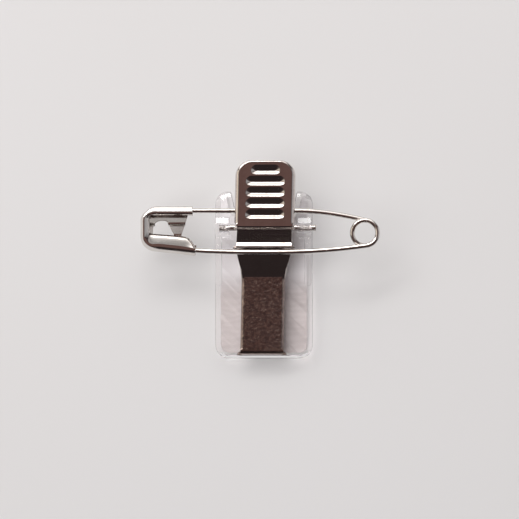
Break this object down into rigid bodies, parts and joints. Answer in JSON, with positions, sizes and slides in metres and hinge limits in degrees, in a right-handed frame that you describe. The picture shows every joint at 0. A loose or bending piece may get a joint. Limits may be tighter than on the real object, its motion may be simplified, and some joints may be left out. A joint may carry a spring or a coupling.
{
  "type": "adhesive badge clip with safety pin",
  "caption": "Stick-on badge clip: clear plate taped to a badge, sprung metal clip lever hinged on it, and a safety pin hanging from the lever's ears.",
  "frame": {"origin": "centre of the tape's outer face, which is stuck to the badge", "axes": "+Z out of the badge towards the wearer's side, +Y towards the thumb tab, +X along the safety pin towards its coil"},
  "size_m": [0.0379, 0.0314, 0.0076],
  "materials": {
    "clear_plastic": "clear moulded acrylic, glossy",
    "tape": "translucent double-sided tape",
    "axle_plating": "nickel plated, bright",
    "spring_steel": "bare spring wire",
    "lever_nickel": "nickel plated sheet, bright on the tab, satin on the jaw arm",
    "pin_nickel": "nickel plated wire, bright",
    "cap_nickel": "nickel plated thin sheet, bright"
  },
  "bodies": {
    "base": {"base_plate": "clear_plastic", "adhesive_pad": "tape", "hinge_axle": "axle_plating", "torsion_spring": "spring_steel"},
    "lever": {"clip_lever": "lever_nickel"},
    "pin": {"pin_spine": "pin_nickel", "pin_cap": "cap_nickel"},
    "needle": {"pin_needle": "pin_nickel"}
  },
  "joints": [
    {"name": "lever_hinge", "type": "hinge", "parent": "base", "child": "lever", "pos_m": [0.0001, 0.0075, 0.0046], "axis": [-1, 0, 0], "range_deg": [0, 30], "stiffness_Nm_per_rad": 0.02, "springref_deg": -1.15, "deforming": ["torsion_spring"]},
    {"name": "pin_swing", "type": "hinge", "parent": "lever", "child": "pin", "pos_m": [0.0001, 0.01018, 0.006], "axis": [-1, 0, 0], "range_deg": [0, 140]},
    {"name": "needle_squeeze", "type": "hinge", "parent": "pin", "child": "needle", "pos_m": [0.01595, 0.00665, 0.0066], "axis": [0, 0, -1], "range_deg": [0, 4.5], "stiffness_Nm_per_rad": 0.01, "springref_deg": -1.15}
  ]
}
